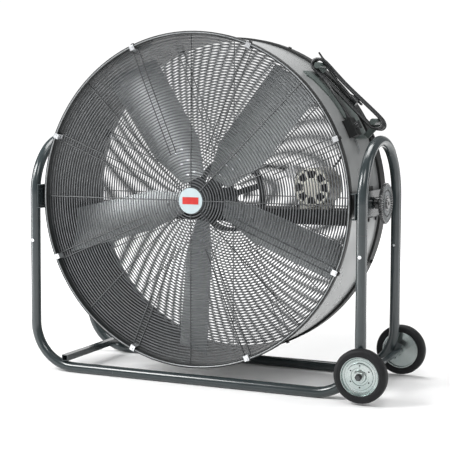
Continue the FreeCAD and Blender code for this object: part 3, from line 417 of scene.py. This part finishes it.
def mains_cord():
    start = around(GLAND_RADIUS, BOX_ANGLE, -0.030) + upward(BOX_ANGLE) * (BOX_HALF + 0.0002)
    lead_radius = WRAP_RADIUS - FLAT
    points = [
        start,
        start + upward(BOX_ANGLE) * 0.042,
        wrap_at(0.026, -0.010, lead_radius - 0.004),
        wrap_at(0.076, 0.014, lead_radius),
    ]
    for k, (y, low, high) in enumerate(TURNS):
        next_y = TURNS[k + 1][0] if k + 1 < len(TURNS) else LAST_Y
        points += fold(1, high, y, -90, 90)
        points += [run_point(STRAIGHT, y, 1, 0.9), run_point(0.030, y, 1, 0.75), run_point(-STRAIGHT, y, 1)]
        points += fold(-1, low, y, 90, -90)
        points += [run_point(-STRAIGHT, y, -1), run_point(STRAIGHT, next_y, -1)]
    points += fold(1, LAST_FOLD, LAST_Y, -90, 40)
    points += [wrap_at(along, TUCK_Y, WRAP_RADIUS + rise) for along, rise in TUCKED_END]
    data = bpy.data.curves.new("mains_cord", "CURVE")
    data.dimensions = "3D"
    spline = data.splines.new("NURBS")
    spline.points.add(len(points) - 1)
    for control, point in zip(spline.points, points):
        control.co = (*point, 1.0)
    spline.order_u = 3
    spline.use_endpoint_u = True
    spline.resolution_u = 5
    data.bevel_depth = CORD_RADIUS
    data.bevel_resolution = 3
    data.use_fill_caps = True
    data.materials.append(MATERIALS["cord_rubber"])
    cord = show("mains_cord", data)
    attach(cord, "drum")
    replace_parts(cord, "mains_cord_lead", "mains_cord_coil", "mains_cord_end")


# ---------------------------------------------------------------- guards

GUARD_Y = 0.202
GUARD_EYE = 0.0505
GUARD_EDGE = 0.6265
GUARD_RINGS = 53
SPOKE_COUNT = 8
SPOKE_STEP = 360 / SPOKE_COUNT
RING_WIRE = 0.0025
REAR_RING_WIRE = 0.0034
EDGE_WIRE = 0.0020
SPOKE_WIRE = 0.0021
HAIRPIN_HALF = 0.0125
HAIRPIN_START = 0.190


def guard_rings(name, side, node, wire, material):
    """All the rings of a guard; the outermost is thinner, where the clips hold it."""
    bm = bmesh.new()
    pitch = (GUARD_EDGE - GUARD_EYE) / (GUARD_RINGS - 1)
    for k in range(GUARD_RINGS):
        thick = EDGE_WIRE if k == GUARD_RINGS - 1 else wire
        wire_ring(bm, GUARD_EYE + pitch * k, side * GUARD_Y, thick, 64 + 8 * (k // 4))
    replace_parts(piece(name, bm, "drum", material), node)


def guard_spokes(name, side):
    """Eight single spokes, and eight hairpins that end under the clips."""
    bm = bmesh.new()
    y = side * (GUARD_Y + RING_WIRE + SPOKE_WIRE * 0.6)
    for k in range(SPOKE_COUNT):
        angle = SPOKE_STEP * k
        rod(bm, around(GUARD_EYE, angle, y), around(GUARD_EDGE, angle, y), SPOKE_WIRE)
        angle += SPOKE_STEP / 2
        inner = around(HAIRPIN_START, angle, y)
        outer = around(GUARD_EDGE, angle, y)
        for shift in (-HAIRPIN_HALF, HAIRPIN_HALF):
            offset = upward(angle) * shift
            rod(bm, inner + offset, outer + offset, SPOKE_WIRE)
    piece(name, bm, "drum", SPOKE_GREY)


# ---------------------------------------------------------------- front rim

RIM_SEGMENTS = 160
BEAD_RADIUS = 0.6350
BEAD_Y = -0.2242
BEAD_WIRE = 0.0026


def front_rim():
    """A black edging with a half-round grey bead let into its face."""
    bm = bmesh.new()
    profile = [
        (0.6290, -0.2180), (0.6290, -0.2255), (0.6300, -0.2265), (0.6318, -0.2265), (0.6322, -0.2225),
        (0.6378, -0.2225), (0.6382, -0.2265), (0.6395, -0.2268), (0.6408, -0.2255), (0.6410, -0.2240),
        (0.6410, -0.2005), (0.6402, -0.1992), (0.6326, -0.1992), (0.6326, -0.2010), (0.6390, -0.2015),
        (0.6390, -0.2180),
    ]
    lathe(bm, profile, PIVOT, Y_AXIS, RIM_SEGMENTS)
    edging = piece("front_rim_edging", bm, "drum", MATERIALS["rim_paint"])
    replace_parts(edging, "front_rim")
    bm = bmesh.new()
    wire_ring(bm, BEAD_RADIUS, BEAD_Y, BEAD_WIRE, RIM_SEGMENTS, 10)
    piece("front_rim_bead", bm, "drum", BEAD_GREY)


# ---------------------------------------------------------------- motor's front cover

MOTOR_AXIS = Vector(JOINTS["motor_spin"]["pos_m"])
WINDOW_COUNT = 8
WINDOW_INNER = 0.036
WINDOW_OUTER = 0.064
WINDOW_HALF = 16.5
RIB_OVERLAP = 0.001
MESH_RINGS = 5
MESH_PITCH = 0.0047
MESH_WIRE = 0.0007
MESH_RING_Y = 0.0160
MESH_BARS = 48
MESH_BAR_Y = 0.0163
MESH_BAR_WIRE = 0.0006
COVER_SCREW_ANGLES = (22.5, 112.5, 202.5, 292.5)


def motor_point(radius, angle, y):
    return Vector((MOTOR_AXIS.x, y, MOTOR_AXIS.z)) + outward(angle) * radius


def sector(bm, inner, outer, first, last, y_front, y_back):
    """A thick plate between two radii and two angles about the motor's axis."""
    steps = max(1, math.ceil((last - first) / 6))
    loops = []
    for k in range(steps + 1):
        angle = first + (last - first) * k / steps
        corners = ((inner, y_front), (outer, y_front), (outer, y_back), (inner, y_back))
        loops.append([bm.verts.new(motor_point(radius, angle, y)) for radius, y in corners])
    skin(bm, loops)
    bm.faces.new(loops[0])
    bm.faces.new(loops[-1])


def motor_bell():
    """A cream end cover with eight windows of fine mesh round a plain middle."""
    centre = Vector((MOTOR_AXIS.x, 0, MOTOR_AXIS.z))
    bm = bmesh.new()
    lathe(bm, [(0, 0.0125), (0.033, 0.0125), (0.036, 0.0145), (0.036, 0.0175), (0, 0.0175)],
          centre, Y_AXIS, 72, closed=False)
    lathe(bm, [(0.0640, 0.0145), (0.0660, 0.0135), (0.0705, 0.0135), (0.0740, 0.0165), (0.0750, 0.0200),
               (0.0750, 0.0400), (0.0680, 0.0400), (0.0680, 0.0180), (0.0640, 0.0180)], centre, Y_AXIS, 96)
    step = 360 / WINDOW_COUNT
    for k in range(WINDOW_COUNT):
        sector(bm, WINDOW_INNER - RIB_OVERLAP, WINDOW_OUTER + RIB_OVERLAP,
               step * k + WINDOW_HALF, step * (k + 1) - WINDOW_HALF, 0.0142, 0.0178)
    cover = piece("motor_front_cover", bm, "drum", MATERIALS["motor_paint"])
    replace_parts(cover, "motor_front_bell")
    bm = bmesh.new()
    for k in range(MESH_RINGS):
        radius = WINDOW_INNER + MESH_PITCH * (k + 1)
        ring = [
            (radius + MESH_WIRE * x, MESH_RING_Y + MESH_WIRE * y)
            for x, y in ((1, 0), (0, 1), (-1, 0), (0, -1))
        ]
        lathe(bm, ring, centre, Y_AXIS, 72)
    for k in range(MESH_BARS):
        angle = 360 / MESH_BARS * k
        rod(bm, motor_point(WINDOW_INNER, angle, MESH_BAR_Y), motor_point(WINDOW_OUTER, angle, MESH_BAR_Y),
            MESH_BAR_WIRE, 4)
    piece("motor_window_mesh", bm, "drum", MATERIALS["motor_core"])
    bm = bmesh.new()
    head = [(0, 0), (0.0030, 0), (0.0036, 0.0006), (0.0036, 0.0020), (0, 0.0020)]
    for angle in COVER_SCREW_ANGLES:
        lathe(bm, head, motor_point(0.0695, angle, 0.0121), Y_AXIS, 6, closed=False)
    piece("motor_cover_screws", bm, "drum", MATERIALS["black_bolts"], smooth=False)


# ---------------------------------------------------------------- tilt knobs

KNOB_REACH = 0.6684
KNOB_RIBS = 44
RIB_FACE = 0.0428
RIB_WIRE = 0.0016
RIB_SPANS = ((0.0300, 0.0460), (0.0520, 0.0735))


def knob(name, side, body, node):
    """A wide hand nut: its dished face and its edge are ribbed all the way round."""
    axis = Vector((side, 0, 0))
    base = PIVOT + axis * KNOB_REACH
    first, second = across(axis)
    # radius, distance from the base, and the depth of the ribs there
    profile = (
        (0.0081, 0.000, 0), (0.0225, 0.000, 0), (0.0225, 0.0286, 0), (0.0300, 0.0290, 0),
        (0.0720, 0.0300, 0), (0.0745, 0.0320, 0.0010), (0.0752, 0.0350, 0.0018), (0.0752, 0.0410, 0.0018),
        (0.0740, 0.0436, 0.0010), (0.0710, 0.0446, 0), (0.0690, 0.0440, 0), (0.0670, 0.0410, 0.0016),
        (0.0620, 0.0396, 0.0030),
        (0.0530, 0.0392, 0.0030), (0.0510, 0.0410, 0), (0.0490, 0.0410, 0), (0.0470, 0.0392, 0.0024),
        (0.0340, 0.0392, 0.0024), (0.0300, 0.0410, 0.0010), (0.0280, 0.0446, 0), (0.0210, 0.0446, 0),
        (0.0200, 0.0495, 0), (0.0081, 0.0495, 0),
    )
    segments = KNOB_RIBS * 6
    bm = bmesh.new()
    rings = []
    for radius, along, depth in profile:
        ring = []
        for k in range(segments):
            angle = 2 * math.pi * k / segments
            wave = depth * math.cos(KNOB_RIBS * angle)
            # the ribs stand out from the edge, and up from the face
            edge = 0.070 < radius < 0.076 and 0.031 < along < 0.044
            out = radius + (wave if edge else 0)
            up = along + (0 if edge else wave)
            ring.append(bm.verts.new(base + axis * up + turned(first, second, angle) * out))
        rings.append(ring)
    skin(bm, rings + rings[:1])
    thing = piece(name, bm, body, MATERIALS["knob_plastic"])
    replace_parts(thing, node)
    # light grey rods along the ribs on the knob's face: a painted highlight on the ribs' tops
    bm = bmesh.new()
    face = base + axis * RIB_FACE
    for k in range(KNOB_RIBS):
        spoke = turned(first, second, 2 * math.pi * k / KNOB_RIBS)
        for inner, outer in RIB_SPANS:
            rod(bm, face + spoke * inner, face + spoke * outer, RIB_WIRE, 6)
    piece(name + "_rib_highlights", bm, body, RIB_HIGHLIGHT_GREY)


# ---------------------------------------------------------------- wheels

WHEEL_SEGMENTS = 128
WHEEL_HOLES = 6


def wheel(prefix, side, body):
    """A ribbed rubber tyre on a pressed disc with a rolled lip, steps and a hub."""
    centre = Vector(JOINTS[body + "_spin"]["pos_m"])
    axis = Vector((0, side, 0))
    bm = bmesh.new()
    tyre = [
        (0.0715, -0.0200), (0.0760, -0.0216), (0.0800, -0.0220), (0.0806, -0.0212), (0.0826, -0.0212),
        (0.0832, -0.0219), (0.0890, -0.0212), (0.0945, -0.0180), (0.0974, -0.0135), (0.0980, -0.0095),
        (0.0966, -0.0085), (0.0966, -0.0070), (0.0980, -0.0060), (0.0980, 0.0060), (0.0966, 0.0070),
        (0.0966, 0.0085), (0.0980, 0.0095), (0.0974, 0.0135), (0.0945, 0.0180), (0.0890, 0.0212),
        (0.0832, 0.0219), (0.0826, 0.0212), (0.0806, 0.0212), (0.0800, 0.0220), (0.0760, 0.0216),
        (0.0715, 0.0200),
    ]
    lathe(bm, tyre, centre, axis, WHEEL_SEGMENTS)
    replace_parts(piece(prefix + "_tyre_ribbed", bm, body, MATERIALS["tyre"]), prefix + "_tyre")
    bm = bmesh.new()
    disc = [
        (0.0712, -0.0180), (0.0712, 0.0186), (0.0700, 0.0197), (0.0684, 0.0194), (0.0672, 0.0175),
        (0.0660, 0.0125), (0.0640, 0.0102), (0.0600, 0.0096), (0.0588, 0.0108), (0.0572, 0.0108),
        (0.0560, 0.0096), (0.0500, 0.0092), (0.0484, 0.0120), (0.0450, 0.0128), (0.0330, 0.0124),
        (0.0318, 0.0096), (0.0250, 0.0092), (0.0225, 0.0150), (0.0165, 0.0165), (0.0160, 0.0240),
        (0.0081, 0.0240), (0.0081, -0.0240), (0.0150, -0.0240), (0.0150, -0.0100), (0.0660, -0.0100),
        (0.0670, -0.0180),
    ]
    lathe(bm, disc, centre, axis, WHEEL_SEGMENTS)
    pressed = piece(prefix + "_wheel_pressing", bm, body, MATERIALS["wheel_zinc"])
    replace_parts(pressed, prefix + "_wheel_disc")
    # black discs where the wheel disc has holes: painted shade for the dark seen through the holes, which are not
    # cut
    bm = bmesh.new()
    hole = [(0, -0.002), (0.0030, -0.002), (0.0030, 0.0002), (0, 0.0002)]
    for k in range(WHEEL_HOLES):
        angle = 360 / WHEEL_HOLES * (k + 0.5)
        spot = centre + axis * 0.0129 + outward(angle) * 0.0390
        lathe(bm, hole, spot, axis, 16, closed=False)
    piece(prefix + "_wheel_hole_shade", bm, body, MATERIALS["black_bolts"])


# ---------------------------------------------------------------- small pieces

LEG_X = 0.684
LEG_Y = 0.223
SEAM_Z = 0.6013


def wire_hook():
    """A narrow wire loop on the drum below the switch box."""
    bm = bmesh.new()
    end, loose = 0.6355, 0.6365
    points = [around(end, 22.0, -0.024), around(loose, 20.5, -0.024), around(loose, 18.2, -0.023)]
    for k in range(7):
        turn = math.radians(30 * k)
        points.append(around(loose, 17.4 - 0.7 * math.sin(turn), -0.016 - 0.007 * math.cos(turn)))
    points += [around(loose, 18.2, -0.009), around(loose, 20.5, -0.008), around(end, 22.0, -0.008)]
    bent_rod(bm, points, 0.0018)
    piece("drum_wire_hook", bm, "drum", BEAD_GREY)


def wrap_strap():
    """The strap that ties the wound cord at its upper end, with its tail pointing up."""
    bm = bmesh.new()
    # along the wrap, along the drum's axis, and the rise above the turns' middle
    course = (
        (0.100, 0.058, 0.023), (0.122, 0.054, 0.026), (0.144, 0.050, 0.027), (0.166, 0.048, 0.029),
        (0.190, 0.046, 0.034),
    )
    bent_rod(bm, [wrap_at(along, y, WRAP_RADIUS + rise) for along, y, rise in course], 0.0036)
    piece("cord_strap_tail", bm, "drum", MATERIALS["cord_rubber"])


def seam_rings():
    """The dark line round each leg where a hoop stands on its lower tube."""
    bm = bmesh.new()
    profile = [(0.0190, 0.0), (0.0202, 0.0), (0.0202, 0.0018), (0.0190, 0.0018)]
    for side in (-1, 1):
        for depth in (-LEG_Y, LEG_Y):
            lathe(bm, profile, Vector((PIVOT.x + side * LEG_X, depth, SEAM_Z)), Z_AXIS, 48)
    piece("frame_seams", bm, "frame", MATERIALS["black_bolts"])


def rail_screw():
    """A bright screw on the front rail."""
    bm = bmesh.new()
    head = [(0, -0.0016), (0.0035, -0.0015), (0.0052, -0.0004), (0.0055, 0.0012), (0, 0.0012)]
    lathe(bm, head, Vector((PIVOT.x - 0.322, -0.2412, 0.020)), Y_AXIS, 24, closed=False)
    piece("rail_screw", bm, "frame", MATERIALS["zinc"])


# ---------------------------------------------------------------- stage

FLOOR_HALF = 30.0


def world_light():
    """A bright backdrop behind the object in a dimmer room."""
    world = bpy.data.worlds.new("studio")
    world.use_nodes = True
    bpy.context.scene.world = world
    tree = world.node_tree
    background = tree.nodes["Background"]
    place = add(tree, "ShaderNodeTexCoord")
    facing = add(tree, "ShaderNodeVectorMath", operation="DOT_PRODUCT")
    facing.inputs[1].default_value = VIEW
    fade = add(tree, "ShaderNodeMapRange", interpolation_type="SMOOTHSTEP",
               From_Min=0.80, From_Max=0.94, To_Min=0.24, To_Max=1.05)
    tree.links.new(place.outputs["Generated"], facing.inputs[0])
    tree.links.new(facing.outputs["Value"], fade.inputs["Value"])
    tree.links.new(fade.outputs["Result"], background.inputs["Strength"])
    background.inputs["Color"].default_value = WHITE


def area_light(name, place, target, width, height, power):
    data = bpy.data.lights.new(name, "AREA")
    data.shape = "RECTANGLE"
    data.size = width
    data.size_y = height
    data.energy = power
    show(name, data).matrix_world = looking(place, Vector(target) - Vector(place))


def paper_floor():
    """White paper that glows more the further it lies from the object, so that it meets the backdrop."""
    paper = surface("white_floor", (0.90, 0.90, 0.90), (0.92, 0.92, 0.92), (0.6, 0.7), scale=0.5, bump=0.01)
    tree = paper.node_tree
    shader = tree.nodes["Principled BSDF"]
    place = add(tree, "ShaderNodeTexCoord")
    length = add(tree, "ShaderNodeVectorMath", operation="LENGTH")
    glow = add(tree, "ShaderNodeMapRange", interpolation_type="SMOOTHSTEP",
               From_Min=0.9, From_Max=3.5, To_Min=0.02, To_Max=1.0)
    tree.links.new(place.outputs["Object"], length.inputs[0])
    tree.links.new(length.outputs["Value"], glow.inputs["Value"])
    tree.links.new(glow.outputs["Result"], shader.inputs["Emission Strength"])
    shader.inputs["Emission Color"].default_value = WHITE
    return paper


def stage():
    """The floor, the lamps and the backdrop."""
    bm = bmesh.new()
    bmesh.ops.create_grid(bm, x_segments=2, y_segments=2, size=FLOOR_HALF)
    mesh = bpy.data.meshes.new("floor")
    bm.to_mesh(mesh)
    bm.free()
    mesh.materials.append(paper_floor())
    floor = show("floor", mesh)
    centre = (PIVOT.x, 0, PIVOT.z)
    area_light("key", (-2.6, -3.0, 3.4), centre, 1.6, 1.6, 190)
    area_light("left_strip", (-3.4, -1.6, 1.3), centre, 0.8, 3.0, 95)
    area_light("right_strip", (3.4, 0.9, 1.3), centre, 0.7, 3.0, 30)
    area_light("front_box", (1.7, -2.6, 3.2), centre, 1.4, 1.4, 48)
    area_light("top", (0.0, 0.6, 4.2), centre, 2.6, 1.8, 130)
    world_light()
    bpy.context.scene.view_settings.view_transform = "Standard"


# ---------------------------------------------------------------- build

make_camera()
mains_cord()
dress_cad_nodes()
guard_rings("front_guard_rings", -1, "front_guard", RING_WIRE, MATERIALS["guard_wire"])
guard_rings("rear_guard_rings", 1, "rear_guard", REAR_RING_WIRE, REAR_WIRE)
guard_spokes("front_guard_spokes", -1)
guard_spokes("rear_guard_spokes", 1)
front_rim()
motor_bell()
knob("left_hand_nut", -1, "left_knob", "left_tilt_knob")
knob("right_hand_nut", 1, "right_knob", "right_tilt_knob")
wheel("front", -1, "front_wheel")
wheel("rear", 1, "rear_wheel")
wire_hook()
rail_screw()
seam_rings()
wrap_strap()
stage()
